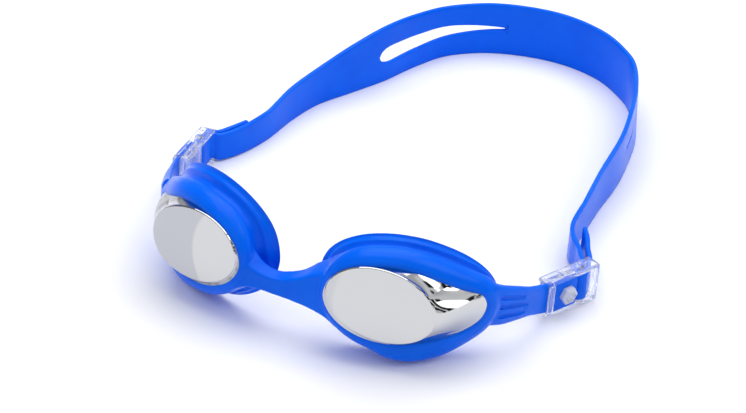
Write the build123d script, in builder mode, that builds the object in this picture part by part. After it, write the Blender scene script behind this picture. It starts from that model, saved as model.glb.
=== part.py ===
from build123d import *
import os
from math import cos, radians, sin

# Swim goggles lying on a flat surface, lenses facing -Y, strap loop behind them along +Y.
# Layout frame while building: X = 0 is the nose plane, Y = 0 the lens faces, Z = 0 the surface.
# The finished pieces are then shifted so that the origin is the bottom centre of the whole.

# ---- driving dimensions, mm and degrees ----
lean = 4.5                  # the eye frame tips back so that the lenses look slightly up
eye_height = 23.5           # height of the lens centres above the surface
face_spacing = 66.0         # between the centres of the two flat lens faces
face_yaw = 11.6             # each lens face turns outwards
face_tilt = -8.0            # each lens face oval dips at its temple end
face_long = 35.5
face_short = 25.2
base_yaw = 24.2             # the plane in which each lens sits in the frame
base_back = 11.2            # from the lens face centres back to the seat centres
base_out = 3.3              # the seats' centres lie further out than the lens faces' centres
base_long = 47.6
base_short = 28.0
lens_wall = 1.8
lens_gap = 0.1              # clearance between a lens and its seat
cut_past = 0.01             # how far a hollow runs past the face it opens

band_width = 4.2            # silicone outside the lens seat
band_front = 1.5            # lip in front of the seat plane
band_depth = 7.5
band_round = 1.5
seal_depth = 5.0
seal_spread_long = 1.5      # how far the eye seal spreads beyond the band at its ends
seal_spread_short = 3.4     # and above and below it
seal_wall = 4.6

bridge_height = 6.2
bridge_depth = 6.0
bridge_drop = 5.1           # the bridge's centre below the lens centres
bridge_wing = 13.0          # height where the bridge runs into the bands
bridge_sweep = 0.04         # how much the bridge's ends lie behind its middle, per mm out

arm_root_height = 16.5
arm_root_thick = 4.2
arm_root_drop = 4.4         # an arm leaves its band this far below the lens centres
arm_root_turn = 24.0        # its heading there, outwards, and halfway along
arm_middle_turn = 15.0
arm_root_sink = (3.0, 4.0)  # inwards and forwards of the hinge, so that it starts inside the band
arm_bow = 1.0
arm_thick = 2.4
hinge_out = 2.0             # the arms flex about an upright line this far beyond the seat's end
hinge_back = 2.05

tab_thick = 1.8
tab_inside = 0.3            # from the clip's middle plane to the tab's inner side
tab_hole = 5.0
tab_length = 10.0
tab_edge = 1.8              # silicone between the hole and the tab's end
tab_gap = 0.1
tab_play = 0.6              # free space along the clip at each end of the tab

clip_length = 21.5
clip_height = 13.5
clip_rail = 1.3
clip_inner = 3.1            # from the clip's middle plane to its inner side
clip_skin = 0.6             # the thin keeper bar inside the strap
clip_above = (1.05, 0.45)   # the right and the left clip lie this far above the surface
bar = 1.8
front_bar_thick = 0.3
core_thick = 1.1            # the bar that the strap is folded round
plate_past = 0.3            # the plate behind the tab runs on past its end
stud_head = 6.4
stud_head_thick = 0.9
stud_shank = 4.6

strap_thick = 1.6
strap_end_width = 10.2
strap_start_width = 11.6
strap_back_width = 22.0
strap_clear = 0.1
tail_gap = 0.05             # between the strap and its tail inside the clip
tail_apart = 0.15           # and behind it
strap_exit_past = 0.4       # where the strap end leaves the clip and starts to curve
slit_open = 5.6
slit_closed = 0.7
slit_ends = (-46.0, 52.5)   # how far to the left and right the slit runs
slit_narrow = -12.0         # from here on it is only a cut
slit_nose = 2.0             # length of its blunt wide end
slit_nose_drop = 1.0
part_gap = 0.3              # gap between the strap loop and the pieces that flex with the clips

# Right and left clip: its middle, out and back from the hinge line and up, and its outward turn.
clip_places = {"right": (12.7, 38.2, clip_height / 2 + clip_above[0], 27.0),
               "left": (11.9, 45.2, clip_height / 2 + clip_above[1], 4.3)}

# Middle line of the strap loop in plan, from the left end round the back to the right end,
# drawn for hinge lines this far from the nose plane.
route_half_width = 60.0
strap_route = [
    (-61.3, 104.0),
    (-60.0, 122.0),
    (-51.5, 150.0),
    (-42.0, 177.0),
    (-25.0, 204.0),
    (5.0, 213.5),
    (34.0, 203.5),
    (50.5, 177.0),
    (57.6, 142.0),
    (60.4, 104.0),
]
# Way points of each strap end between its clip and the loop: plan place, heading, rise share.
strap_end_route = {
    "right": [((71.8, 77.6), -42.0, 0.7), ((63.6, 86.2), -32.0, 0.35)],
    "left": [((-69.8, 85.0), 17.0, 0.4), ((-64.4, 95.5), 20.0, 0.1)],
}
# The loop's top edge: distance back, and the share of its growth from the start to the back width.
strap_top_shares = [(104.0, 0.0), (128.0, 0.19), (160.0, 0.63), (188.0, 0.98)]
strap_top_slope = 0.05
strap_back_margin = 20.0

# ---- places worked out from them ----
seat_end = base_long / 2
hinge_x = face_spacing / 2 + base_out + seat_end * cos(radians(base_yaw)) + hinge_out
hinge_y = base_back + seat_end * sin(radians(base_yaw)) + hinge_back
route_stretch = hinge_x / route_half_width
strap_route = [(x * route_stretch, y) for x, y in strap_route]
strap_back_y = max(y for x, y in strap_route)
strap_growth = strap_back_width - strap_start_width
strap_top = [(y, strap_start_width + strap_growth * share) for y, share in strap_top_shares]

# ---- frames ----
side_of = {"right": 1, "left": -1}
front = Location((0, 0, eye_height), (-lean, 0, 0))


def turned_plane(x, y, yaw, forward):
    """Upright plane in the right eye, facing forwards, moved along its own normal."""
    normal = Vector(sin(radians(yaw)), -cos(radians(yaw)), 0)
    along = Vector(cos(radians(yaw)), sin(radians(yaw)), 0)
    place = Plane(origin=Vector(x, y, 0) + normal * forward, x_dir=along, z_dir=normal)
    return Plane(front * place.location)


def face_plane(forward=0.0):
    return turned_plane(face_spacing / 2, 0, face_yaw, forward)


def base_plane(forward=0.0):
    return turned_plane(face_spacing / 2 + base_out, base_back, base_yaw, forward)


def oval(plane, length, height, turn=0.0):
    with BuildSketch(plane) as sketch:
        Ellipse(length / 2, height / 2, rotation=turn)
    return sketch.sketch


def lens_body(grow, face_forward, base_forward):
    """Oval lens cup between its flat face and its seat, grown or shrunk all round."""
    with BuildPart() as body:
        face = oval(face_plane(face_forward), face_long + 2 * grow, face_short + 2 * grow, face_tilt)
        base = oval(base_plane(base_forward), base_long + 2 * grow, base_short + 2 * grow)
        loft([face, base])
    return body.part


# ---- lenses ----
with BuildPart() as lens_right:
    add(lens_body(0, 0, 0))
    add(lens_body(-lens_wall, -lens_wall, -cut_past), mode=Mode.SUBTRACT)

with BuildPart() as lens_left:
    mirror(lens_right.part, about=Plane.YZ)

# ---- face frame: a band round each lens and the nose bridge, one moulding ----
band_long = base_long + 2 * band_width
band_short = base_short + 2 * band_width
opening_long = base_long - 2 * lens_wall
opening_short = base_short - 2 * lens_wall

with BuildPart() as band_right:
    with BuildSketch(base_plane(band_front)):
        Ellipse(band_long / 2, band_short / 2)
    extrude(amount=-band_depth)
    fillet(band_right.edges(), band_round)

bridge_sections = []
bridge_half = face_spacing / 2 + base_out - base_long / 2 * cos(radians(base_yaw))
for x, height, depth in ((-bridge_half, bridge_wing, bridge_depth), (0, bridge_height, bridge_depth),
                         (bridge_half, bridge_wing, bridge_depth)):
    section_plane = Plane(origin=(x, bridge_depth / 2 + abs(x) * bridge_sweep, -bridge_drop),
                          x_dir=(0, 1, 0), z_dir=(1, 0, 0))
    with BuildSketch(Plane(front * section_plane.location)) as bridge_section:
        RectangleRounded(depth, height, bridge_height / 4)
    bridge_sections.append(bridge_section.sketch)

with BuildPart() as bridge:
    loft(bridge_sections)

with BuildPart() as seat_right:
    add(lens_body(lens_gap, lens_gap, 0))
    with BuildSketch(base_plane()):
        Ellipse(opening_long / 2, opening_short / 2)
    extrude(amount=-2 * band_depth)

# ---- eye seals: soft flared skirts behind the bands ----
seal_front = band_front - band_depth
seal_long = band_long + 2 * seal_spread_long
seal_short = band_short + 2 * seal_spread_short
with BuildPart() as seal_right:
    loft([
        oval(base_plane(seal_front), band_long - 2 * band_round, band_short - 2 * band_round),
        oval(base_plane(seal_front - seal_depth), seal_long, seal_short),
    ])
    loft([
        oval(base_plane(seal_front), opening_long, opening_short),
        oval(base_plane(seal_front - seal_depth), seal_long - 2 * seal_wall, seal_short - 2 * seal_wall),
    ], mode=Mode.SUBTRACT)

with BuildPart() as seal_left:
    mirror(seal_right.part, about=Plane.YZ)

# The whole frame moulding: both bands and the bridge, open for the lenses.
with BuildPart() as face_frame:
    add(bridge.part)
    add(band_right.part)
    mirror(band_right.part, about=Plane.YZ)
    add(seat_right.part, mode=Mode.SUBTRACT)
    mirror(seat_right.part, about=Plane.YZ, mode=Mode.SUBTRACT)
    add(seal_right.part, mode=Mode.SUBTRACT)
    add(seal_left.part, mode=Mode.SUBTRACT)


# ---- arms, clips and strap ends, one set for each side ----
def clip_plane(side):
    """X runs from the clip's front to its rear, Z is up, the outside is at -Y on the right."""
    out, back, z, turn = clip_places[side]
    heading = Vector(side_of[side] * sin(radians(turn)), cos(radians(turn)), 0)
    return Plane(origin=(side_of[side] * (hinge_x + out), hinge_y + back, z), x_dir=heading, z_dir=(0, 0, 1))


def block(side, along, out, up):
    """Box between two distances along, outwards and up, in the clip's frame."""
    middle_out = (out[0] + out[1]) / 2
    with Locations(((along[0] + along[1]) / 2, -side_of[side] * middle_out, (up[0] + up[1]) / 2)):
        Box(along[1] - along[0], out[1] - out[0], up[1] - up[0])


def clip_point(side, along, out, up=0.0):
    return clip_plane(side).from_local_coords(Vector(along, -side_of[side] * out, up))


def ribbon(stations):
    """Flat band lofted through upright sections: middle point, heading, thickness and height."""
    sections = []
    for point, turn, thick, height in stations:
        heading = Vector(sin(radians(turn)), cos(radians(turn)), 0)
        across = Vector(cos(radians(turn)), -sin(radians(turn)), 0)
        with BuildSketch(Plane(origin=point, x_dir=across, z_dir=heading)) as section:
            Rectangle(thick, height)
        sections.append(section.sketch)
    with BuildPart() as band:
        loft(sections)
    return band.part


clip_front = -clip_length / 2
clip_rear = clip_length / 2
clip_outer = tab_inside + tab_thick + tab_gap + front_bar_thick
tab_start = clip_front + bar + tab_play
tab_root = clip_front - tab_play
tab_end = tab_start + tab_length
stud_place = tab_end - tab_hole / 2 - tab_edge
loop_bar = tab_end + tab_play + strap_thick + 2 * strap_clear
tab_out = (tab_inside, tab_inside + tab_thick)
plate_out = (-clip_inner, tab_inside - tab_gap)
stud_rise = tab_thick + 2 * tab_gap
main_out = (-clip_inner + clip_skin + strap_clear, -clip_inner + clip_skin + strap_clear + strap_thick)
core_out = (main_out[1] + strap_clear, main_out[1] + strap_clear + core_thick)
wrap_out = (core_out[1] + strap_clear, core_out[1] + strap_clear + strap_thick)
tail_out = (main_out[1] + tail_gap, main_out[1] + tail_gap + strap_thick)
wrap_height = (-strap_end_width / 2, strap_end_width / 2)
strap_exit = clip_rear + strap_exit_past
half = clip_height / 2
inside = half - clip_rail
arm_end_height = 2 * (inside - tab_gap)
inside_height = (-inside, inside)


def make_clip(side):
    with BuildPart(clip_plane(side)) as clip:
        for low, high in ((-half, -inside), (inside, half)):
            block(side, (clip_front, clip_rear), (-clip_inner, clip_outer), (low, high))
        block(side, (clip_front, tab_end + plate_past), plate_out, inside_height)
        block(side, (clip_front, clip_front + bar), (tab_out[1] + tab_gap, clip_outer), inside_height)
        block(side, (loop_bar, loop_bar + bar), core_out, inside_height)
        block(side, (clip_rear - bar, clip_rear), (tail_out[1] + strap_clear, clip_outer), inside_height)
        block(side, (clip_rear - bar, clip_rear), (-clip_inner, -clip_inner + clip_skin), inside_height)
        stud = Plane(origin=clip_point(side, stud_place, plate_out[1]),
                     x_dir=clip_plane(side).x_dir, z_dir=clip_plane(side).y_dir * -side_of[side])
        with BuildSketch(stud):
            Circle(stud_shank / 2)
        extrude(amount=stud_rise)
        with BuildSketch(stud.offset(stud_rise)):
            RegularPolygon(stud_head / 2, 6)
        extrude(amount=stud_head_thick)
    return clip.part


def tab_block(side):
    """The arm's end inside the clip, with the hole that buttons over the stud."""
    with BuildPart(clip_plane(side)) as tab:
        block(side, (tab_root, tab_end), tab_out, (-arm_end_height / 2, arm_end_height / 2))
        hole = Plane(origin=clip_point(side, stud_place, 0), x_dir=clip_plane(side).x_dir,
                     z_dir=clip_plane(side).y_dir)
        with BuildSketch(hole):
            Circle(tab_hole / 2)
        extrude(amount=2 * clip_inner, both=True, mode=Mode.SUBTRACT)
    return tab.part


def make_arm(side):
    s = side_of[side]
    end = clip_point(side, tab_root, (tab_out[0] + tab_out[1]) / 2)
    root_z = eye_height - arm_root_drop
    middle = Vector((s * hinge_x + end.X) / 2 + s * arm_bow, (hinge_y + end.Y) / 2, (root_z + end.Z) / 2)
    root = Vector(s * (hinge_x - arm_root_sink[0]), hinge_y - arm_root_sink[1], root_z)
    with BuildPart() as arm:
        add(ribbon([
            (root, s * arm_root_turn, arm_root_thick, arm_root_height),
            (middle, s * arm_middle_turn, arm_thick, (arm_root_height + arm_end_height) / 2),
            (end, s * clip_places[side][3], tab_thick, arm_end_height),
        ]))
        add(tab_block(side))
        for piece in (band_right.part, seal_right.part, seat_right.part):
            add(piece if side == "right" else piece.mirror(Plane.YZ), mode=Mode.SUBTRACT)
    return arm.part


def strap_folds(side):
    """The strap inside its clip: in behind the core bar, forward round it and back out as the tail."""
    fold_front = loop_bar - strap_clear - strap_thick
    fold_back = loop_bar + bar + strap_clear
    with BuildPart(clip_plane(side)) as folds:
        block(side, (fold_front, strap_exit), main_out, wrap_height)
        block(side, (fold_front, loop_bar - strap_clear), (main_out[0], wrap_out[1]), wrap_height)
        block(side, (fold_front, fold_back + strap_thick), wrap_out, wrap_height)
        block(side, (fold_back, fold_back + strap_thick), (tail_out[0], wrap_out[1]), wrap_height)
        block(side, (fold_back, strap_exit), tail_out, wrap_height)
    return folds.part


def make_strap_end(side):
    s = side_of[side]
    turn = s * clip_places[side][3]
    clip_z = clip_places[side][2]
    loop_end = strap_route[-1] if side == "right" else strap_route[0]
    loop_z = strap_start_width / 2
    main_exit = clip_point(side, strap_exit, (main_out[0] + main_out[1]) / 2)
    tail_exit = clip_point(side, strap_exit, (tail_out[0] + tail_out[1]) / 2)
    stations = [(main_exit, turn, strap_thick, strap_end_width)]
    tail_stations = [(tail_exit, turn, strap_thick, strap_end_width)]
    for (x, y), heading, rise in strap_end_route[side]:
        place = Vector(x * route_stretch, y, loop_z + (clip_z - loop_z) * rise)
        width = strap_end_width + (1 - rise) * (strap_start_width - strap_end_width)
        across = Vector(cos(radians(heading)), -sin(radians(heading)), 0) * s
        stations.append((place, heading, strap_thick, width))
        tail_stations.append((place + across * (strap_thick + tail_apart), heading, strap_thick,
                              strap_end_width))
    loop_place = Vector(loop_end[0], loop_end[1] - part_gap, loop_z)
    stations.append((loop_place, 0, strap_thick, strap_start_width))
    with BuildPart() as strap_end:
        add(strap_folds(side))
        add(ribbon(stations))
        add(ribbon(tail_stations))
    return strap_end.part


# ---- strap loop: one band, widest at the back, slit into two along the back ----
with BuildPart() as strap:
    with BuildSketch():
        with BuildLine() as route:
            Spline(strap_route, tangents=[(0.0, 1.0), (0.0, -1.0)])
        trace(route.line, line_width=strap_thick)
    extrude(amount=strap_back_width)
    strap_start_y = strap_route[0][1]
    far_back = strap_back_y + strap_back_margin
    with BuildSketch(Plane.YZ):
        with BuildLine():
            Spline(strap_top, tangents=[(1, strap_top_slope), (1, strap_top_slope)])
            Polyline(strap_top[-1], (strap_back_y - strap_back_margin / 2, strap_back_width),
                     (far_back, strap_back_width), (far_back, 0), (strap_start_y - 1, 0),
                     (strap_start_y - 1, strap_start_width), strap_top[0])
        make_face()
    extrude(amount=2 * face_spacing, both=True, mode=Mode.INTERSECT)
    slit_front = (strap_route[2][1] + strap_route[3][1]) / 2 - strap_back_margin / 2
    left, right = (x * route_stretch for x in slit_ends)
    narrow = slit_narrow * route_stretch
    with BuildSketch(Plane.XZ.offset(-slit_front)):
        with BuildLine():
            Polyline((left, slit_open / 2 - slit_nose_drop), (left + slit_nose, slit_open / 2),
                     (narrow, slit_closed / 2), (right, slit_closed / 2),
                     (right, -slit_closed / 2), (narrow, -slit_closed / 2),
                     (left + slit_nose, -slit_open / 2), (left, slit_nose_drop - slit_open / 2),
                     close=True)
        make_face()
    slit = extrude(amount=-(far_back - slit_front), mode=Mode.PRIVATE)
    add(slit.moved(Location((0, 0, strap_back_width / 2))), mode=Mode.SUBTRACT)

# ---- all the pieces, shifted so that the origin is the bottom centre ----
pieces = {
    "face_frame": face_frame.part,
    "lens_right": lens_right.part,
    "lens_left": lens_left.part,
    "seal_right": seal_right.part,
    "seal_left": seal_left.part,
    "strap": strap.part,
}
for side in side_of:
    pieces["clip_" + side] = make_clip(side)
    pieces["arm_" + side] = make_arm(side)
    pieces["strap_end_" + side] = make_strap_end(side)

corners = [piece.bounding_box() for piece in pieces.values()]
low = [min(getattr(box.min, axis) for box in corners) for axis in "XYZ"]
high = [max(getattr(box.max, axis) for box in corners) for axis in "XYZ"]
to_origin = Location((-(low[0] + high[0]) / 2, -(low[1] + high[1]) / 2, -low[2]))
os.makedirs("parts", exist_ok=True)
for name, piece in pieces.items():
    with BuildPart() as placed:
        add(piece.moved(to_origin))
    placed.part.label = name
    export_step(placed.part, "parts/" + name + ".step")

print("overall size", [round(high[i] - low[i], 2) for i in range(3)])
print("shift to origin", to_origin.position)
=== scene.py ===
from math import atan2, cos, degrees, pi, radians, sin, sqrt
import bmesh
import bpy
from mathutils import Matrix, Vector


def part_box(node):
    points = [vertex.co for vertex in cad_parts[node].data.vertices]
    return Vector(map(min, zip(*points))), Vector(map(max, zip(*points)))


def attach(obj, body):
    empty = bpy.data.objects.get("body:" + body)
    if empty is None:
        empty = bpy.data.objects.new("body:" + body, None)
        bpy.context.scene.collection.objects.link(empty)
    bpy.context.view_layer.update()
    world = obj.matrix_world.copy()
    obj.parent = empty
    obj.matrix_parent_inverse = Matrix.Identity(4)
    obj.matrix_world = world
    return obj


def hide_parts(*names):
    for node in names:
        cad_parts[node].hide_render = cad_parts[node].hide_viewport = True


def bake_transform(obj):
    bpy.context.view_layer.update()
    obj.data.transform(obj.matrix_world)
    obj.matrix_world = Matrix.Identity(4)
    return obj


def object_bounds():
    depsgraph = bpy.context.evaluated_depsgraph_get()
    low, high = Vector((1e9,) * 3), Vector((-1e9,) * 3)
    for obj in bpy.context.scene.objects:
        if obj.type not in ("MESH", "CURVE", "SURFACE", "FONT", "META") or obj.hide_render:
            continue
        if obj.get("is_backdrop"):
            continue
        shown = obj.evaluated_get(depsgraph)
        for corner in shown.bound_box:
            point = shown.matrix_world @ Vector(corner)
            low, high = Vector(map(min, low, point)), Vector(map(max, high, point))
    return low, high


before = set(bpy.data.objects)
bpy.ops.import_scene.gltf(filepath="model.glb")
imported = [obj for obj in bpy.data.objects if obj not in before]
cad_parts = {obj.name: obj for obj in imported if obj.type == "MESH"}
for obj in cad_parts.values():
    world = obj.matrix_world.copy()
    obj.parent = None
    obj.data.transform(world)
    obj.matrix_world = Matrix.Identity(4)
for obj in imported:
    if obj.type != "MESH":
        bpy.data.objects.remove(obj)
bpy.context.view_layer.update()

# ---------------------------------------------------------------- The table, the camera and the light
# The goggles lie on a pale table with the strap loop open behind them, lit by large soft lamps.
# Sizes are in millimetres from the point on the table under the middle between the lens faces.
bpy.ops.object.select_all(action="DESELECT")
bpy.context.scene.view_settings.view_transform = "Standard"
# The front edge of each lens lies this far in front of the middle of its face.
lens_face_front = 5.09
table_origin = Vector(((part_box("lens_left")[0].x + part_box("lens_right")[1].x) / 2,
                       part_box("lens_right")[0].y + lens_face_front / 1000, 0))
eye_height = 23.5
lean = radians(4.5)


def place(x, y, z):
    return table_origin + Vector((x, y, z)) / 1000


def face_point(x, y, z):
    """A point given in the frame of the lens faces, which leans back a little."""
    return place(x, y * cos(lean) + z * sin(lean), eye_height - y * sin(lean) + z * cos(lean))


camera = bpy.data.objects.new("camera", bpy.data.cameras.new("camera"))
bpy.context.scene.collection.objects.link(camera)
bpy.context.scene.camera = camera
camera.data.lens = 105.4
camera.data.sensor_width = 36.0
camera.data.clip_start = 0.05
camera_side, camera_up = Vector((0.89565, 0.44111, 0.05704)), Vector((-0.28117, 0.46215, 0.84105))
camera_turn = Matrix((camera_side, camera_up, camera_side.cross(camera_up))).transposed()
camera.location = place(251.67, -498.51, 406.73)
camera.rotation_euler = camera_turn.to_euler()


class Value:
    """A socket that sums, differences and products can be written with, and other nodes made from."""

    def __init__(self, tree, socket):
        self.tree, self.socket = tree, socket

    def make(self, kind, inputs, output=0, **settings):
        node = self.tree.nodes.new(kind)
        for key, setting in settings.items():
            setattr(node, key, setting)
        for key, value in inputs.items():
            if isinstance(value, Value):
                self.tree.links.new(value.socket, node.inputs[key])
            else:
                node.inputs[key].default_value = value
        return Value(self.tree, node.outputs[output])

    def math(self, operation, first, second):
        return self.make("ShaderNodeMath", {0: first, 1: second}, operation=operation)

    def band(self, low, high):
        """0 below low, 1 above high, smooth between."""
        return self.make("ShaderNodeMapRange", {"Value": self, "From Min": low, "From Max": high},
                         interpolation_type="SMOOTHSTEP")

    def split(self):
        return [self.make("ShaderNodeSeparateXYZ", {"Vector": self}, output=k) for k in range(3)]

    def mix(self, first, second):
        """first where this is 0, second where it is 1."""
        return self.make("ShaderNodeMix", {"Factor": self, 6: first, 7: second}, output=2, data_type="RGBA")

    def __add__(self, other):
        return self.math("ADD", self, other)

    __radd__ = __add__

    def __sub__(self, other):
        return self.math("SUBTRACT", self, other)

    def __rsub__(self, other):
        return self.math("SUBTRACT", other, self)

    def __mul__(self, other):
        return self.math("MULTIPLY", self, other)

    __rmul__ = __mul__


def new_material(name):
    """A material, its shader and its object coordinates."""
    material = bpy.data.materials.new(name)
    material.use_nodes = True
    tree = material.node_tree
    where = tree.nodes.new("ShaderNodeTexCoord")
    return material, tree.nodes["Principled BSDF"], Value(tree, where.outputs["Object"])


def feed(shader, name, value):
    value.tree.links.new(value.socket, shader.inputs[name])


def give(piece, material):
    piece.data.materials.clear()
    piece.data.materials.append(material)


bpy.ops.mesh.primitive_plane_add(size=6, location=place(0, 0, 0))
table = bpy.context.object
table.name = "table"
table_material, table_shader, at = new_material("white_table")
table_shader.inputs["Roughness"].default_value = 0.9
cloudy = at.make("ShaderNodeTexNoise", {"Vector": at, "Scale": 6.0})
feed(table_shader, "Base Color", cloudy.mix((0.93, 0.935, 0.96, 1), (0.96, 0.96, 0.975, 1)))
give(table, table_material)
table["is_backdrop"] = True


def softbox(name, spot, width, height, power, color=(1, 1, 1)):
    """A rectangular lamp that faces the goggles."""
    lamp = bpy.data.objects.new(name, bpy.data.lights.new(name, "AREA"))
    lamp.data.shape = "RECTANGLE"
    lamp.data.size, lamp.data.size_y = width, height
    lamp.data.energy = power
    lamp.data.color = color
    bpy.context.scene.collection.objects.link(lamp)
    lamp.location = place(*spot)
    lamp.rotation_euler = (place(0, 80, 10) - lamp.location).to_track_quat("-Z", "Y").to_euler()
    return lamp


softbox("top_light", (-100, 350, 1100), 1.2, 1.2, 10)
left_light = softbox("left_light", (-900, -200, 600), 0.6, 0.8, 3)
left_light.visible_glossy = False
softbox("right_light", (850, 250, 800), 0.5, 0.7, 2.6)

# The room that the mirrors reflect is pale, with a bright wall on the right. Dark rows stand further out
# on that side, and a grey wall stands on the left.
world = bpy.data.worlds.new("studio")
bpy.context.scene.world = world
world.use_nodes = True
room = world.node_tree
direction = Value(room, room.nodes.new("ShaderNodeTexCoord").outputs["Generated"])
out, _, up = direction.split()
side_wall = out.band(0.55, 0.62)
dark_rows = side_wall * (up.band(0.08, 0.1) * (1 - up.band(0.2, 0.22)) + up.band(0.26, 0.28)
                         * (1 - up.band(0.38, 0.4)) + up.band(0.46, 0.48) * (1 - up.band(0.6, 0.62)))
grey_wall = (out * -1).band(0.4, 0.65) * up.band(0.12, 0.25)
bright_room = grey_wall.mix((0.95, 0.96, 1.0, 1), (0.36, 0.37, 0.4, 1))
right_wall = out.band(0.3, 0.5) * up.band(0.0, 0.05) * (1 - up.band(0.7, 0.8))
lit_room = right_wall.mix(bright_room, (1.45, 1.46, 1.5, 1))
room_color = dark_rows.mix(lit_room, (0.02, 0.022, 0.03, 1))
room.links.new(room_color.socket, room.nodes["Background"].inputs["Color"])
room.nodes["Background"].inputs["Strength"].default_value = 0.55


# ---------------------------------------------------------------- Lenses
# Mirror-coated polycarbonate cups, one for each eye. A flat oval face with a bright bevelled edge,
# a side wall that runs back into the frame, and a folded window at the temple.
def only(piece):
    bpy.ops.object.select_all(action="DESELECT")
    piece.select_set(True)
    bpy.context.view_layer.objects.active = piece


def finish_with(piece, kind, **settings):
    """Adds one modifier and applies it."""
    only(piece)
    modifier = piece.modifiers.new(kind.lower(), kind)
    for key, setting in settings.items():
        setattr(modifier, key, setting)
    bpy.ops.object.modifier_apply(modifier=modifier.name)


def face_outwards(piece):
    only(piece)
    bpy.ops.object.mode_set(mode="EDIT")
    bpy.ops.mesh.select_all(action="SELECT")
    bpy.ops.mesh.remove_doubles(threshold=0.000002)
    bpy.ops.mesh.select_all(action="DESELECT")
    bpy.ops.mesh.select_non_manifold()
    bpy.ops.mesh.fill_holes(sides=0)
    bpy.ops.mesh.select_all(action="SELECT")
    bpy.ops.mesh.normals_make_consistent(inside=False)
    bpy.ops.object.mode_set(mode="OBJECT")


def shade(piece, angle):
    only(piece)
    bpy.ops.object.shade_smooth_by_angle(angle=radians(angle))


def rings_piece(name, rings):
    """A circle primitive laid on the first ring, extruded from ring to ring and closed at both ends."""
    bpy.ops.object.select_all(action="DESELECT")
    bpy.ops.mesh.primitive_circle_add(vertices=len(rings[0]), radius=0.01, location=(0, 0, 0))
    piece = bpy.context.object
    piece.name = name
    bpy.ops.object.mode_set(mode="EDIT")
    form = bmesh.from_edit_mesh(piece.data)
    number = form.verts.layers.int.new("number")
    for k, vertex in enumerate(form.verts):
        vertex[number] = k
    bmesh.update_edit_mesh(piece.data)
    for r, ring in enumerate(rings):
        if r:
            bpy.ops.mesh.extrude_edges_move()
        form = bmesh.from_edit_mesh(piece.data)
        number = form.verts.layers.int["number"]
        for vertex in form.verts:
            if vertex.select:
                vertex.co = ring[vertex[number]]
        bmesh.update_edit_mesh(piece.data)
    bpy.ops.object.mode_set(mode="OBJECT")
    face_outwards(piece)
    return piece


def smooth_route(points, count, closed=False, before=None, after=None):
    """Evenly spaced samples of a smooth curve through a few points, from one neighbour to the other."""
    points = [Vector(p) for p in points]
    if closed:
        points = [points[-1]] + points + points[:2]
    else:
        before = Vector(before) if before else 2 * points[0] - points[1]
        after = Vector(after) if after else 2 * points[-1] - points[-2]
        points = [before] + points + [after]
    dense = []
    for a, b, c, d in zip(points, points[1:], points[2:], points[3:]):
        for step in range(24):
            t = step / 24
            dense.append(0.5 * (2 * b + (c - a) * t + (2 * a - 5 * b + 4 * c - d) * t * t
                                + (3 * b - a - 3 * c + d) * t ** 3))
    dense.append(points[-2])
    lengths = [0.0]
    for a, b in zip(dense, dense[1:]):
        lengths.append(lengths[-1] + (b - a).length)
    samples, j = [], 0
    for k in range(count if closed else count + 1):
        goal = lengths[-1] * k / count
        while j < len(dense) - 2 and lengths[j + 1] < goal:
            j += 1
        samples.append(dense[j].lerp(dense[j + 1], (goal - lengths[j]) / (lengths[j + 1] - lengths[j])))
    return samples


def wrap(x):
    """How far back the frame has curved round the face, this far out from the nose."""
    return -3.2 + 0.0088 * (x - 10) ** 2 + 0.00003 * (x - 10) ** 3


# The right eye's outlines, out from the nose and up, from the nose over the top.
ring_count = 160
eye_middle = Vector((36.6, 0, -0.8))
eye_half_wide, eye_half_high = 22.6, 13.4
seat_outline = [(14.7, 0.0), (16.4, 5.4), (20.3, 9.2), (26.2, 11.8), (33.3, 12.5), (41.0, 11.1),
                (47.0, 8.2), (52.5, 5.1), (56.8, 3.1), (58.6, 1.0), (59.3, -2.4), (58.0, -6.8),
                (54.0, -10.4), (47.5, -13.1), (40.0, -14.4), (32.5, -14.1), (25.5, -12.2),
                (19.6, -8.8), (16.0, -4.6)]
rear_outline = [(13.2, 0.2), (14.2, 5.4), (16.6, 11.0), (22.6, 15.2), (31.0, 16.6), (38.5, 15.9),
                (46.0, 13.0), (53.0, 8.8), (57.8, 5.0), (60.4, -1.0), (59.9, -8.0), (57.4, -13.6),
                (52.8, -17.8), (47.0, -20.9), (40.0, -22.2), (32.5, -20.4), (24.5, -17.8),
                (17.2, -12.4), (13.8, -6.0)]
lip_outline = [(6.8, -0.5), (8.8, 7.6), (13.6, 13.6), (21.0, 18.0), (29.5, 19.8), (38.0, 18.9), (45.5, 15.6),
               (51.5, 11.0), (56.0, 5.2), (58.2, -1.2), (56.8, -8.2), (53.0, -14.4), (46.5, -18.8),
               (38.5, -21.5), (29.5, -21.6), (20.5, -19.2), (13.0, -14.4), (8.2, -8.0)]


def wrapped_ring(outline, behind):
    """An outline laid on the wrapped surface and moved back."""
    flat = smooth_route([(x, z, 0) for x, z in outline], ring_count, closed=True)
    return [Vector((p.x, wrap(p.x) + behind, p.y)) for p in flat]


seat_ring = wrapped_ring(seat_outline, 0.3)
rear_ring = wrapped_ring(rear_outline, 7.0)
lip_ring = wrapped_ring(lip_outline, 12.0)

face_half_long, face_half_short = 17.77, 12.6
face_yaw, face_tilt = radians(11.6), radians(-8.0)
face_centre = Vector((33.0, 0, 0))
face_along = Vector((cos(face_yaw), sin(face_yaw), 0))
face_forward = Vector((sin(face_yaw), -cos(face_yaw), 0))
# The face's oval is turned this much against the seat, so that the side wall twists towards the temple.
oval_twist = 0.16
fold_angle = radians(11.0)


def way_round(point):
    """Angle of a point round the middle of the eye, evened out for the eye's oval."""
    return atan2((point.z - eye_middle.z) / eye_half_high, (point.x - eye_middle.x) / eye_half_wide)


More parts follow.
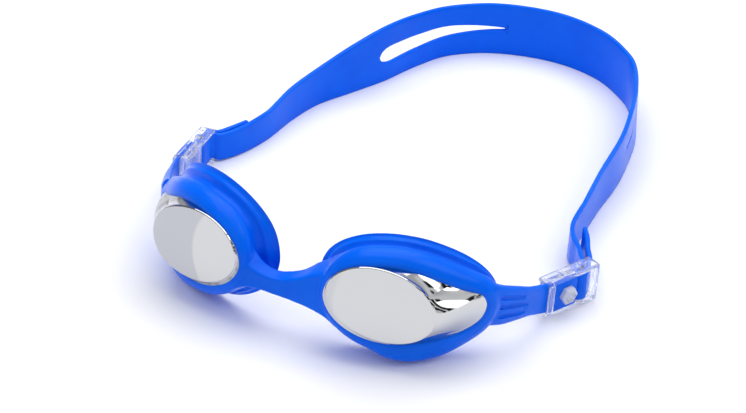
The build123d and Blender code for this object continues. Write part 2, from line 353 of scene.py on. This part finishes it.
def oval_ring(grow, forward):
    """The lens face's oval, each sample facing its sample of the seat ring."""
    ring = []
    for p in seat_ring:
        angle = way_round(p) - face_tilt - oval_twist
        u, v = cos(angle) * (face_half_long + grow), sin(angle) * (face_half_short + grow)
        u, v = u * cos(face_tilt) - v * sin(face_tilt), u * sin(face_tilt) + v * cos(face_tilt)
        ring.append(face_centre + face_along * u + Vector((0, 0, v)) + face_forward * forward)
    return ring


def moved(ring, behind, grow=0.0):
    """A ring moved back and spread outwards."""
    return [p + Vector((p.x - eye_middle.x, 0, p.z - eye_middle.z)).normalized() * grow
            + Vector((0, behind, 0)) for p in ring]


def between(first, second, share, bulge=0.0, bulge_at=None):
    """Part of the way from one ring to another, pushed out from the straight line between them."""
    ring = []
    for k, (a, b) in enumerate(zip(first, second)):
        normal = (b - a).cross(first[(k + 1) % ring_count] - first[k - 1]).normalized()
        if normal.dot(Vector((a.x - eye_middle.x, 0, a.z - eye_middle.z))) < 0:
            normal = -normal
        push = bulge * (bulge_at(a) if bulge_at else 1)
        ring.append(a.lerp(b, share) + normal * push)
    return ring


# How far the temple wall is pushed out, at turns in degrees from the fold's crease.
fold_pushes = [(-70, 0.0), (-30, 0.8), (0, 1.4), (40, -1.0), (80, 0.0)]


def fold_push(point):
    """The temple wall is full below the fold's crease and drops sharply to a hollow above it."""
    turn = degrees(way_round(point) - fold_angle)
    for (turn0, push0), (turn1, push1) in zip(fold_pushes, fold_pushes[1:]):
        if turn0 <= turn < turn1:
            return push0 + (push1 - push0) * (turn - turn0) / (turn1 - turn0)
    return 0.0


def smooth_step(value, low, high):
    share = min(1.0, max(0.0, (value - low) / (high - low)))
    return share * share * (3 - 2 * share)


temple_fold = 2.4
underside_press = 2.8


def on_side(ring, side):
    """A ring on its own side. The soft frame lies unevenly: the left temple is folded in a little and
    the right eye's underside is pressed forwards."""
    if side == -1:
        return [face_point(temple_fold * smooth_step(p.x, 44, 60) - p.x, p.y, p.z) for p in ring]
    points = []
    for p in ring:
        press = underside_press * smooth_step(-p.z, 14.5, 21) * smooth_step(p.x, 27, 36)
        points.append(face_point(p.x, p.y - press, p.z))
    return points


mirror_material, mirror, at = new_material("mirror_coating")
mirror.inputs["Metallic"].default_value = 1.0
x, y, z = at.split()
haze = at.make("ShaderNodeTexNoise", {"Vector": at, "Scale": 70.0, "Detail": 3.0})
ripple = at.make("ShaderNodeTexNoise", {"Vector": at, "Scale": 160.0, "Detail": 1.0})
# Painted shade: the coating is painted a shade deeper in a crescent left of each face, where the far wall of
# the cup stands behind it.
haze_and_painted_shade = haze * 0.1
crescent_half_wide, crescent_half_high = 0.0178, 0.019
for middle, depth in ((-0.0150, 0.95), (0.0362, 0.45)):
    from_middle = x - (table_origin.x + middle)
    across = from_middle * (1 / crescent_half_wide)
    rise = (z - eye_height / 1000) * (1 / crescent_half_high)
    left_of_it = from_middle.band(-0.05, -0.03) * (1 - from_middle.band(0.0, 0.002))
    haze_and_painted_shade = haze_and_painted_shade + (across * across + rise * rise).band(0.94, 1.08) * left_of_it * depth
feed(mirror, "Roughness", haze * 0.04 + 0.05)
feed(mirror, "Normal", ripple.make("ShaderNodeBump", {"Height": ripple, "Strength": 0.04, "Distance": 0.001}))
# The second colour is the crescents' painted shade; the haze alone varies the tone a little at random.
coating = haze_and_painted_shade.mix((0.60, 0.605, 0.605, 1), (0.48, 0.49, 0.515, 1))
# Painted shade and painted reflection: outside the face's oval, the left lens's side wall is painted grey
# with streaks, for the dark inside of the cup that it reflects.
left_face = face_point(-face_centre.x, 0, 0)
across = (y - left_face.y) * face_along.y - (x - left_face.x) * face_along.x
rise = z - left_face.z
long_way = (across * cos(face_tilt) + rise * sin(face_tilt)) * (1000 / face_half_long)
short_way = (rise * cos(face_tilt) - across * sin(face_tilt)) * (1000 / face_half_short)
left_eye = 1 - (x - table_origin.x).band(-0.002, 0.0)
wall = (long_way * long_way + short_way * short_way).band(1.0, 1.04) * left_eye
painted_reflection_streaks = at.make("ShaderNodeTexNoise", {"Vector": at, "Scale": 300.0, "Detail": 1.0})
painted_shade_coating = painted_reflection_streaks.band(0.35, 0.65).mix((0.26, 0.27, 0.29, 1), (0.40, 0.41, 0.43, 1))
feed(mirror, "Base Color", wall.mix(coating, painted_shade_coating))

lens_wall = 1.8
wall_steps = 12
wall_bulge = 0.95
for side, word in ((1, "right"), (-1, "left")):
    face_edge = oval_ring(0, -0.45)
    back_edge = moved(seat_ring, 2.0, -lens_wall)
    rings = [
        oval_ring(-6.0, 0), oval_ring(-3.0, 0), oval_ring(-0.5, 0), oval_ring(-0.32, 0),
        oval_ring(-0.1, -0.16), face_edge,
        *[between(face_edge, seat_ring, step / wall_steps, sin(pi * step / wall_steps) ** 0.8 * wall_bulge,
                  fold_push) for step in range(1, wall_steps)],
        seat_ring, moved(seat_ring, 1.8), back_edge,
        between(oval_ring(-lens_wall, -lens_wall), back_edge, 0.5), oval_ring(-lens_wall, -lens_wall),
        oval_ring(-6.0, -lens_wall),
    ]
    lens = rings_piece("lens_" + word + "_shell", [on_side(ring, side) for ring in rings])
    shade(lens, 11)
    give(lens, mirror_material)
    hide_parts("lens_" + word)
    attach(lens, "front")


# ---------------------------------------------------------------- Face frame and arms
# One soft silicone moulding: a band that grips each lens, the nose bridge between them and two side
# arms that end in tabs. Each arm has three moulded finger grooves and buttons on to its clip's stud.
silicone_material, silicone, at = new_material("blue_silicone")
silicone.inputs["Subsurface Weight"].default_value = 0.05
silicone.inputs["Subsurface Radius"].default_value = (0.1, 0.3, 1.0)
silicone.inputs["Subsurface Scale"].default_value = 0.001
silicone.inputs["IOR"].default_value = 1.41
silicone.inputs["Specular IOR Level"].default_value = 0.14
cloud = at.make("ShaderNodeTexNoise", {"Vector": at, "Scale": 60.0, "Detail": 2.0})
grain = at.make("ShaderNodeTexNoise", {"Vector": at, "Scale": 2600.0, "Detail": 2.0})
feed(silicone, "Base Color", cloud.band(0.35, 0.65).mix((0.0, 0.120, 0.84, 1), (0.0, 0.134, 0.88, 1)))
feed(silicone, "Roughness", cloud * 0.08 + 0.2)
fine_bump = grain.make("ShaderNodeBump", {"Height": grain, "Strength": 0.08, "Distance": 0.0002})
feed(silicone, "Normal", fine_bump)


def band_piece(side):
    """The rounded band that grips a lens, from its front lip over its outside to the seal."""
    profile = [(0.0, -1.3), (0.0, 0.0), (0.04, 0.5), (0.14, 1.1), (0.38, 1.7), (0.62, 1.65), (0.86, 1.0),
               (0.98, 0.3), (1.0, -0.4), (0.93, -1.0)]
    rings = [between(seat_ring, rear_ring, share, bulge) for share, bulge in profile]
    rings += [moved(seat_ring, 7.0, 1.0), moved(seat_ring, 2.8, -0.6), rings[0]]
    return rings_piece("band", [on_side(ring, side) for ring in rings])


def bridge_piece():
    """The nose bridge. It lies a little twisted, so its two ends differ."""
    # Out from the nose, then how far back and up four edges are: rear top, front top, front bottom and
    # rear bottom.
    stations = [
        (-19, (5.0, 12.4), (-1.0, 10.0), (-0.9, -12.2), (5.8, -14.4)),
        (-15.5, (4.0, 8.5), (-1.8, 3.0), (-1.4, -9.4), (5.0, -12.5)),
        (-12, (3.9, 2.8), (-1.6, -0.5), (-1.2, -8.0), (5.0, -10.0)),
        (-8, (3.7, -0.4), (-1.3, -1.8), (-0.6, -8.0), (4.8, -8.4)),
        (-4, (4.2, -1.4), (-0.8, -2.3), (-0.1, -8.5), (4.8, -7.8)),
        (0, (5.6, -1.0), (-0.3, -1.8), (0.3, -8.8), (5.2, -7.8)),
        (4, (6.8, 0.6), (0.1, -0.2), (0.4, -9.1), (5.8, -8.2)),
        (8, (7.3, 4.1), (0.4, 2.0), (0.2, -9.3), (6.3, -9.0)),
        (12, (6.6, 7.4), (0.2, 4.1), (-0.4, -9.5), (6.4, -11.0)),
        (15.5, (5.6, 10.8), (-0.6, 6.8), (-1.0, -10.0), (6.0, -13.0)),
        (19, (5.6, 12.6), (-0.8, 9.8), (-0.9, -12.2), (5.8, -14.6)),
    ]
    edges = [smooth_route([(x, *corners[k]) for x, *corners in stations], 40) for k in range(4)]
    bridge = rings_piece("bridge", [[face_point(*p) for p in section] for section in zip(*edges)])
    finish_with(bridge, "BEVEL", width=0.0006, segments=2, limit_method="ANGLE", angle_limit=radians(50))
    return bridge


# The middle of each clip and the turn of its rear end outwards, in degrees.
clip_places = {1: (72.0, 61.2, 7.8, 27.0), -1: (-71.9, 68.2, 7.2, 4.3)}
clip_length, clip_height, clip_rail, bar = 21.5, 13.5, 1.3, 1.8
clip_inner, clip_outer = 3.1, 2.5
clip_front, clip_rear = -clip_length / 2, clip_length / 2
tab_start, tab_end = clip_front + bar + 0.6, clip_front + bar + 10.6
tab_inside, tab_outside = 0.3, 2.1
tab_half = clip_height / 2 - clip_rail - 0.1
stud_place = tab_end - 4.3


def clip_point(side, along, outwards, up=0.0):
    """A point in a clip's own directions: towards its rear, outwards and up."""
    x, y, z, turn = clip_places[side]
    turn = radians(turn)
    return Vector((x + side * (sin(turn) * along + cos(turn) * outwards),
                   y + cos(turn) * along - sin(turn) * outwards, z + up))


def clip_matrix(side, along, outwards, up=0.0):
    """Stands a piece made at the origin in a clip: its X towards the rear, its Y outwards."""
    turn = radians(clip_places[side][3])
    heading = Vector((side * sin(turn), cos(turn), 0))
    outward = Vector((side * cos(turn), -sin(turn), 0))
    axes = Matrix((heading, outward, Vector((0, 0, 1)))).transposed().to_4x4()
    return Matrix.Translation(place(*clip_point(side, along, outwards, up))) @ axes


# Where each arm starts inside its band, and where it leaves it.
arm_starts = {1: [(59.2, 26.2, 17.9), (61.4, 30.5, 15.7)], -1: [(-57.6, 26.2, 17.9), (-60.6, 30.5, 15.7)]}
arm_root_high, arm_narrowing = 15.9, 4.6
arm_root_thick, arm_thinning = 3.8, 1.9


def arm_path(side):
    """The middle of an arm at even steps, from its band to its clip."""
    root, leave = [Vector(start) for start in arm_starts[side]]
    enter = clip_point(side, clip_front - 1.5, 1.0, 0.6)
    inside = clip_point(side, clip_front + 2.5, 1.2)
    half_way = (leave + enter) / 2 + Vector((side * 0.6, 0, 0.2))
    return smooth_route([root, leave, half_way, enter, inside], 16)


def arm_piece(side):
    """A side arm, flat inside and rounded outside, that narrows and thins towards its clip."""
    corners = [(0.5, 0.3), (0.5, -0.3), (0.34, -0.44), (0.1, -0.5), (-0.4, -0.5), (-0.5, -0.42), (-0.5, 0.42),
               (-0.4, 0.5), (0.1, 0.5), (0.34, 0.44)]
    path = arm_path(side)
    sections = []
    for k, p in enumerate(path):
        t = k / (len(path) - 1)
        along = path[min(k + 1, len(path) - 1)] - path[max(k - 1, 0)]
        outward = Vector((side * along.y, -side * along.x, 0)).normalized()
        height = arm_root_high - arm_narrowing * min(1.0, t / 0.6)
        thick = arm_root_thick - arm_thinning * min(1.0, t / 0.7)
        sections.append([place(*(p + outward * thick * a + Vector((0, 0, height * b)))) for a, b in corners])
    return rings_piece("arm", sections)


def rounded_block(along, outwards, up, round_edge, segments=2):
    """A cube primitive between two distances along, outwards and up, with rounded edges."""
    bpy.ops.object.select_all(action="DESELECT")
    bpy.ops.mesh.primitive_cube_add(size=1, location=[(a + b) / 2000 for a, b in (along, outwards, up)])
    block = bpy.context.object
    block.scale = [(b - a) / 1000 for a, b in (along, outwards, up)]
    bpy.ops.object.transform_apply(location=True, rotation=False, scale=True)
    if round_edge:
        bpy.ops.object.mode_set(mode="EDIT")
        bpy.ops.mesh.bevel(offset=round_edge / 1000, segments=segments)
        bpy.ops.object.mode_set(mode="OBJECT")
    return block


def tab_piece(side):
    """The crisp-edged tab at the end of an arm."""
    half_long, half_thick = (tab_end - tab_start - 0.4) / 2, (tab_outside - tab_inside) / 2
    tab = rounded_block((-half_long, half_long), (-half_thick, half_thick), (-tab_half, tab_half), 0.45)
    tab_middle = (tab_end + tab_start + 0.4) / 2
    tab.data.transform(clip_matrix(side, tab_middle, (tab_inside + tab_outside) / 2 + 0.3))
    face_outwards(tab)
    return tab


groove_half_deep, groove_half_high = 0.9, 0.85
groove_out = 1.95


def groove_piece(side, row):
    """A round-ended bar that cuts one of an arm's three finger grooves."""
    path = arm_path(side)
    first = path[1] + Vector((0, 0, 3.6 * row))
    last = path[9 if row == 0 else 8] + Vector((0, 0, 2.9 * row))
    along = (last - first).normalized()
    outward = Vector((side * along.y, -side * along.x, 0)).normalized()
    half_long = (last - first).length / 2
    groove = rounded_block((-half_long, half_long), (-groove_half_deep, groove_half_deep),
                           (-groove_half_high, groove_half_high), 0.7, segments=3)
    axes = Matrix((along, outward, along.cross(outward) * side)).transposed().to_4x4()
    groove.data.transform(Matrix.Translation(place(*((first + last) / 2 + outward * groove_out))) @ axes)
    face_outwards(groove)
    return groove


def finish_boolean(piece, tool, operation):
    """Adds a tool to a piece or cuts it away, and removes the tool."""
    finish_with(piece, "BOOLEAN", operation=operation, object=tool, solver="EXACT")
    bpy.data.objects.remove(tool)


def join(pieces, name):
    bpy.ops.object.select_all(action="DESELECT")
    for piece in pieces:
        piece.select_set(True)
    bpy.context.view_layer.objects.active = pieces[0]
    bpy.ops.object.join()
    pieces[0].name = name
    return pieces[0]


# The five forms are fused and their joins softened. Then a plug clears each lens's seat, and each arm gets
# its tab and its grooves.
moulding = join([band_piece(1), band_piece(-1), bridge_piece(), arm_piece(1), arm_piece(-1)],
                "face_frame_moulding")
fuse_grain = 0.00034
finish_with(moulding, "REMESH", mode="VOXEL", voxel_size=fuse_grain)
finish_with(moulding, "SMOOTH", factor=0.5, iterations=6)
for side in (1, -1):
    plug_rings = [moved(seat_ring, -6.0, 0.02), seat_ring, moved(seat_ring, 2.2, 0.02),
                  moved(seat_ring, 2.4, -0.9), moved(seat_ring, 12.0, -0.9)]
    plug = rings_piece("plug", [on_side(ring, side) for ring in plug_rings])
    finish_boolean(moulding, plug, "DIFFERENCE")
    finish_boolean(moulding, tab_piece(side), "UNION")
    for row in (-1, 0, 1):
        finish_boolean(moulding, groove_piece(side, row), "DIFFERENCE")


def cut_off(piece, point, normal, keep_inner):
    """Cuts a piece by a plane, keeps one side and closes the cut."""
    only(piece)
    bpy.ops.object.mode_set(mode="EDIT")
    bpy.ops.mesh.select_all(action="SELECT")
    bpy.ops.mesh.bisect(plane_co=point, plane_no=normal, use_fill=True, clear_inner=not keep_inner,
                        clear_outer=keep_inner)
    bpy.ops.object.mode_set(mode="OBJECT")


arm_cut_out, arm_cut_back, arm_cut_up = 62.0, 29.0, 17
for side, word in ((1, "right"), (-1, "left")):
    root = place(side * arm_cut_out, arm_cut_back, arm_cut_up)
    lead = Vector((side * 0.35, 0.93, 0)).normalized()
    arm = moulding.copy()
    arm.data = moulding.data.copy()
    arm.name = "arm_" + word + "_moulding"
    bpy.context.scene.collection.objects.link(arm)
    cut_off(arm, root, lead, keep_inner=False)
    cut_off(moulding, root, lead, keep_inner=True)
    finish_with(arm, "DECIMATE", ratio=0.4)
    shade(arm, 50)
    give(arm, silicone_material)
    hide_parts("arm_" + word)
    place(*clip_point(side, clip_front + 1.5, 0))
    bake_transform(arm)
finish_with(moulding, "DECIMATE", ratio=0.4)
shade(moulding, 50)
give(moulding, silicone_material)
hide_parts("face_frame")
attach(moulding, "front")

# ---------------------------------------------------------------- Eye seals
# Soft silicone skirts behind the bands. Each leaves its band in a shallow valley, rises over a ridge
# and flares to a thin lip that sits against the face.
for side, word in ((1, "right"), (-1, "left")):
    # The right lip lies a little further from the nose and lower at its top, the left one the other way.
    lip = [p + Vector((0.7 * side * (1 - p.x / 58), 0, -1.0 * side * max(0.0, p.z / 20))) for p in lip_ring]
    skirt = [(0.08, -1.0), (0.25, -1.4), (0.42, -0.9), (0.52, -0.2), (0.62, -0.25), (0.74, -0.6),
             (0.88, -0.5), (0.97, -0.2)]
    rings = [moved(seat_ring, 5.0, 1.6), between(seat_ring, rear_ring, 0.93, -0.6)]
    rings += [between(rear_ring, lip, share, bulge) for share, bulge in skirt]
    rings += [lip, moved(lip, 0.5, -0.35), moved(lip, 0.6, -1.1), moved(lip, -0.6, -2.6),
              moved(seat_ring, 9.0, 1.4), moved(seat_ring, 6.0, 0.2), rings[0]]
    seal = rings_piece("seal_" + word + "_skirt", [on_side(ring, side) for ring in rings])
    finish_with(seal, "SUBSURF", levels=1, render_levels=1)
    shade(seal, 60)
    give(seal, silicone_material)
    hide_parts("seal_" + word)
    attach(seal, "front")

# ---------------------------------------------------------------- Clips
# Clear polycarbonate buckles: two long rails with pockets moulded into them, joined by bars, a plate
# behind the arm's tab and a six-sided stud that the tab buttons over.
clear_material, clear, at = new_material("clear_polycarbonate")
clear.inputs["Base Color"].default_value = (0.97, 0.985, 1.0, 1)
clear.inputs["IOR"].default_value = 1.45
clear.inputs["Transmission Weight"].default_value = 1.0
clear.inputs["Alpha"].default_value = 0.85
# Painted light: a faint glow in the clear plastic, which gives off light of its own and lifts its dark
# refractions.
clear.inputs["Emission Color"].default_value = (0.85, 0.9, 1.0, 1)
clear.inputs["Emission Strength"].default_value = 0.05
scuff = at.make("ShaderNodeTexNoise", {"Vector": at, "Scale": 400.0, "Detail": 2.0})
feed(clear, "Roughness", scuff * 0.08 + 0.08)
stud_material, stud, at = new_material("frosted_stud")
stud.inputs["Base Color"].default_value = (0.92, 0.95, 1.0, 1)
stud.inputs["IOR"].default_value = 1.5
stud.inputs["Transmission Weight"].default_value = 0.4
facets = at.make("ShaderNodeTexNoise", {"Vector": at, "Scale": 500.0, "Detail": 1.0})
feed(stud, "Roughness", facets * 0.1 + 0.04)
half, inside = clip_height / 2, clip_height / 2 - clip_rail
between_rails = (-inside - 0.3, inside + 0.3)
front_bar, front_bar_proud = 2.4, 0.45
loop_bar = tab_end + 0.6 + 1.6 + 0.2
core_low, core_high = -0.7, 0.4
tail_low, tail_high = -0.75, 0.85

for side, word in ((1, "right"), (-1, "left")):
    # The upper rail, and then the lower rail, the plate, the front bar, the strap's bar and the rear bar.
    clip = rounded_block((clip_front, clip_rear), (-clip_inner, clip_outer), (inside, half), 0.3)
    clip.name = "clip_" + word + "_buckle"
    parts = [
        rounded_block((clip_front, clip_rear), (-clip_inner, clip_outer), (-half, -inside), 0.3),
        rounded_block((clip_front, tab_end + 0.3), (-clip_inner + 1.0, tab_inside - 0.1), between_rails, 0),
        rounded_block((clip_front, clip_front + front_bar), (tab_outside + 0.1, clip_outer + front_bar_proud),
                      between_rails, 0.15),
        rounded_block((loop_bar, loop_bar + bar), (core_low, core_high), between_rails, 0.3),
        rounded_block((clip_rear - bar, clip_rear), (tail_high + 0.1, clip_outer), between_rails, 0.3),
    ]
    bpy.ops.mesh.primitive_cylinder_add(vertices=32, radius=0.0023, depth=0.003)
    shank = bpy.context.object
    shank.data.transform(Matrix.Translation((stud_place / 1000, 0.0008, 0)) @ Matrix.Rotation(pi / 2, 4, "X"))
    for part in parts + [shank]:
        finish_boolean(clip, part, "UNION")
    for low, high in ((clip_front + 1.2, clip_front + 7.6), (clip_front + 8.6, clip_rear - 6.4),
                      (clip_rear - 5.4, clip_rear - 1.2)):
        for up in (-1, 1):
            pocket = rounded_block((low, high), (-clip_inner + 0.9, clip_outer - 0.9),
                                   sorted((up * (half - 0.7), up * (half + 1))), 0.2)
            finish_boolean(clip, pocket, "DIFFERENCE")
    # A clip is a little lower at its front end than at its rear.
    for vertex in clip.data.vertices:
        vertex.co.z *= 0.92 + 0.1 * (vertex.co.x * 1000 - clip_front) / clip_length
    face_outwards(clip)
    give(clip, clear_material)
    clip.data.materials.append(stud_material)
    # The stud's six-sided head has a raised rim and a raised middle.
    bpy.ops.object.select_all(action="DESELECT")
    bpy.ops.mesh.primitive_cylinder_add(vertices=6, radius=0.0032, depth=0.0016)
    head = bpy.context.object
    bpy.ops.object.mode_set(mode="EDIT")
    bpy.ops.mesh.select_all(action="DESELECT")
    form = bmesh.from_edit_mesh(head.data)
    for face in form.faces:
        face.select = face.normal.z > 0.9
    bmesh.update_edit_mesh(head.data)
    bpy.ops.mesh.inset(thickness=0.0009)
    bpy.ops.transform.translate(value=(0, 0, 0.0007))
    bpy.ops.mesh.inset(thickness=0.0004)
    bpy.ops.transform.translate(value=(0, 0, -0.0006))
    bpy.ops.mesh.inset(thickness=0.0013)
    bpy.ops.transform.translate(value=(0, 0, 0.0009))
    bpy.ops.object.mode_set(mode="OBJECT")
    head.data.transform(Matrix.Translation((stud_place / 1000, 0.0032, 0)) @ Matrix.Rotation(-pi / 2, 4, "X")
                        @ Matrix.Rotation(pi / 6, 4, "Z"))
    give(head, clear_material)
    head.data.materials.append(stud_material)
    for face in head.data.polygons:
        face.material_index = 1
    clip = join([clip, head], clip.name)
    clip.data.transform(clip_matrix(side, 0, 0))
    if clip_matrix(side, 0, 0).determinant() < 0:
        clip.data.flip_normals()
    shade(clip, 25)
    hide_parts("clip_" + word)
    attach(clip, word + "_clip")

# ---------------------------------------------------------------- Head strap
# One moulded silicone band, narrow at the clips and wide at the back, where a long slit parts it
# into two. Each end runs through its clip, round a bar and back along itself as a free tail.
strap_thick = 1.6
strap_back_width, strap_end_width = 22.0, 10.4
main_low, main_high = -2.4, -0.8
# Points of the loop's middle line, across and back, and how high its top edge is there.
strap_route = [(-62.0, 104.0, 11.5), (-61.0, 120.0, 13.7), (-58.1, 135.5, 15.4), (-51.4, 150.4, 20.2),
               (-44.8, 165.4, 23.4), (-39.6, 181.4, 22.8), (-31.9, 197.0, 21.6), (-16.4, 208.8, 21.5),
               (5.0, 214.0, 21.3), (24.0, 210.7, 20.7), (37.9, 201.2, 20.3), (46.2, 191.0, 20.5),
               (53.5, 174.0, 21.4), (57.5, 154.0, 21.4), (59.2, 138.0, 19.8), (59.4, 121.0, 16.8),
               (60.5, 104.0, 14.2)]
slit_from, slit_closes, slit_open = -46.0, -14.2, 7.6
gape_from, gape_to, gape_open = 149.0, 159.0, 1.2
strap_lean = 1.5
# Points of each strap end between its clip and the loop: across, back, and how much of the clip's own
# height above the loop it keeps there.
strap_ways = {1: [(68.4, 78.4, 0.6), (64.2, 84.0, 0.4), (61.4, 91.0, 0.2)],
              -1: [(-68.7, 82.2, 0.1), (-64.8, 90.8, 0.0)]}


def slit_half(x, y):
    """Half of the slit's height here: open at the left, closed behind, gaping a little at the right."""
    if y > 150 and slit_from < x < slit_closes:
        half_open = 0.4 + (slit_open / 2 - 0.4) * ((slit_closes - x) / (slit_closes - slit_from)) ** 1.2
        end_room = min((x - slit_from) / 2.6, (slit_closes - x) / 1.5, 1.0)
        return half_open * sqrt(1 - (1 - end_room) ** 2)
    if x > 0 and gape_from < y < gape_to:
        return gape_open / 2 * sqrt(sin(pi * (y - gape_from) / (gape_to - gape_from)))
    return 0.0


def solid_ribbon(piece, loose_ends):
    """Gives a ribbon its thickness and rounds its long edges, but not its ends that meet another."""
    finish_with(piece, "SOLIDIFY", thickness=strap_thick / 1000, offset=0, use_even_offset=True)
    bpy.ops.object.mode_set(mode="EDIT")
    form = bmesh.from_edit_mesh(piece.data)
    weight = form.edges.layers.float.new("bevel_weight_edge")
    for edge in form.edges:
        middle = (edge.verts[0].co + edge.verts[1].co) / 2
        at_end = any((middle - end).length < 0.012 and abs((middle - end).y) < 0.0003
                     and abs(edge.verts[0].co.y - edge.verts[1].co.y) < 0.0003 for end in loose_ends)
        if edge.is_manifold and radians(50) < edge.calc_face_angle() < radians(120) and not at_end:
            edge[weight] = 1.0
    bmesh.update_edit_mesh(piece.data)
    bpy.ops.object.mode_set(mode="OBJECT")
    finish_with(piece, "BEVEL", width=0.0004, segments=2, limit_method="WEIGHT")
    face_outwards(piece)
    shade(piece, 50)
    give(piece, silicone_material)


route = smooth_route(strap_route, 640, before=(*strap_ways[-1][-1][:2], 10.6),
                     after=(*strap_ways[1][-1][:2], 12.0))
rows = 6
slit_height = strap_back_width / 2
columns = []
for p in route:
    top = p.z
    middle = min(slit_height, top * 0.5 + (slit_height - top * 0.5) * min(1.0, max(0.0, (p.y - 120) / 40)))
    gap = slit_half(p.x, p.y)
    heights = [(middle - gap) * k / rows for k in range(rows + 1)]
    heights += [middle + gap + (top - middle - gap) * k / rows for k in range(rows + 1)]
    lean_in = strap_lean * smooth_step(p.y, 138, 176) * (1 - smooth_step(p.y, 176, 208)) if p.x > 0 else 0.0
    columns.append([place(p.x - lean_in * z / top, p.y - 0.5 * lean_in * z / top, z) for z in heights])
bpy.ops.object.select_all(action="DESELECT")
bpy.ops.mesh.primitive_grid_add(x_subdivisions=len(route) - 1, y_subdivisions=2 * rows + 1, size=1)
strap = bpy.context.object
strap.name = "strap_loop"
form = bmesh.new()
form.from_mesh(strap.data)
form.verts.ensure_lookup_table()
for k, vertex in enumerate(form.verts):
    row, column = divmod(k, len(route))
    vertex.co = columns[column][row]
# The middle row of faces is the slit. It is taken out, and its edges are joined where it is closed.
slit_faces = [face for face in form.faces if {v.index // len(route) for v in face.verts} == {rows, rows + 1}]
bmesh.ops.delete(form, geom=slit_faces, context="FACES_ONLY")
bmesh.ops.remove_doubles(form, verts=form.verts, dist=0.00001)
form.to_mesh(strap.data)
form.free()
solid_ribbon(strap, [place(*strap_route[0][:2], 6), place(*strap_route[-1][:2], 6)])
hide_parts("strap")
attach(strap, "front")


def ribbon_piece(name, path, widths):
    """A flat ribbon along a path of middle points: a grid primitive laid along it."""
    count = len(path)
    bpy.ops.object.select_all(action="DESELECT")
    bpy.ops.mesh.primitive_grid_add(x_subdivisions=count - 1, y_subdivisions=6, size=1)
    piece = bpy.context.object
    piece.name = name
    for k, vertex in enumerate(piece.data.vertices):
        row, column = divmod(k, count)
        p = path[column]
        vertex.co = place(p.x, p.y, p.z + (row / 6 - 0.5) * widths(column / (count - 1)))
    return piece


# Points of each free tail from its clip to its tip, given as those of strap_ways.
tail_ways = {1: [(71.2, 79.5, 0.7), (68.6, 85.6, 0.5), (65.6, 91.0, 0.3)],
             -1: [(-70.6, 83.6, 0.1), (-68.2, 88.4, 0.1), (-65.6, 95.4, 0.0)]}
main, tail, wrapped = (main_low + main_high) / 2, (tail_low + tail_high) / 2, 1.3
for side, word in ((1, "right"), (-1, "left")):
    clip_z = clip_places[side][2]
    loop_x, loop_y, loop_top = strap_route[-1 if side == 1 else 0]
    loop_z = loop_top / 2
    main_out = [(6.6, -2.5), (9.2, -4.4)] if side == 1 else [(7.4, main), (11.1, main)]
    tail_in = [(12.6, -4.4), (9.6, -1.5)] if side == 1 else [(12.6, tail), (9.4, tail)]
    folds = [(7.4, tail + 0.15), (6.6, (wrapped + tail) / 2), (5.8, wrapped), (4.6, wrapped),
             (3.5, wrapped - 0.4), (3.1, (wrapped + main) / 2), (3.5, main + 0.4), (4.6, main)]
    path = [Vector((x, y, loop_z + (clip_z - loop_z) * rise)) for x, y, rise in tail_ways[side][::-1]]
    path += [clip_point(side, along, outwards) for along, outwards in tail_in + folds + main_out]
    path += [Vector((x, y, loop_z + (clip_z - loop_z) * rise)) for x, y, rise in strap_ways[side]]
    path += [Vector((loop_x, loop_y, loop_z))]
    next_x, next_y = (strap_route[-2] if side == 1 else strap_route[1])[:2]
    path = smooth_route(path, 180, after=(next_x, next_y, loop_z))
    end = ribbon_piece("strap_end_" + word + "_ribbon", path, lambda t: strap_end_width
                       + (loop_top - strap_end_width) * smooth_step(t, 0.6, 1.05))
    solid_ribbon(end, [place(loop_x, loop_y, 6)])
    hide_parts("strap_end_" + word)
    place(*clip_point(side, clip_rear + 1, 0))
    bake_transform(end)

low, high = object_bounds()
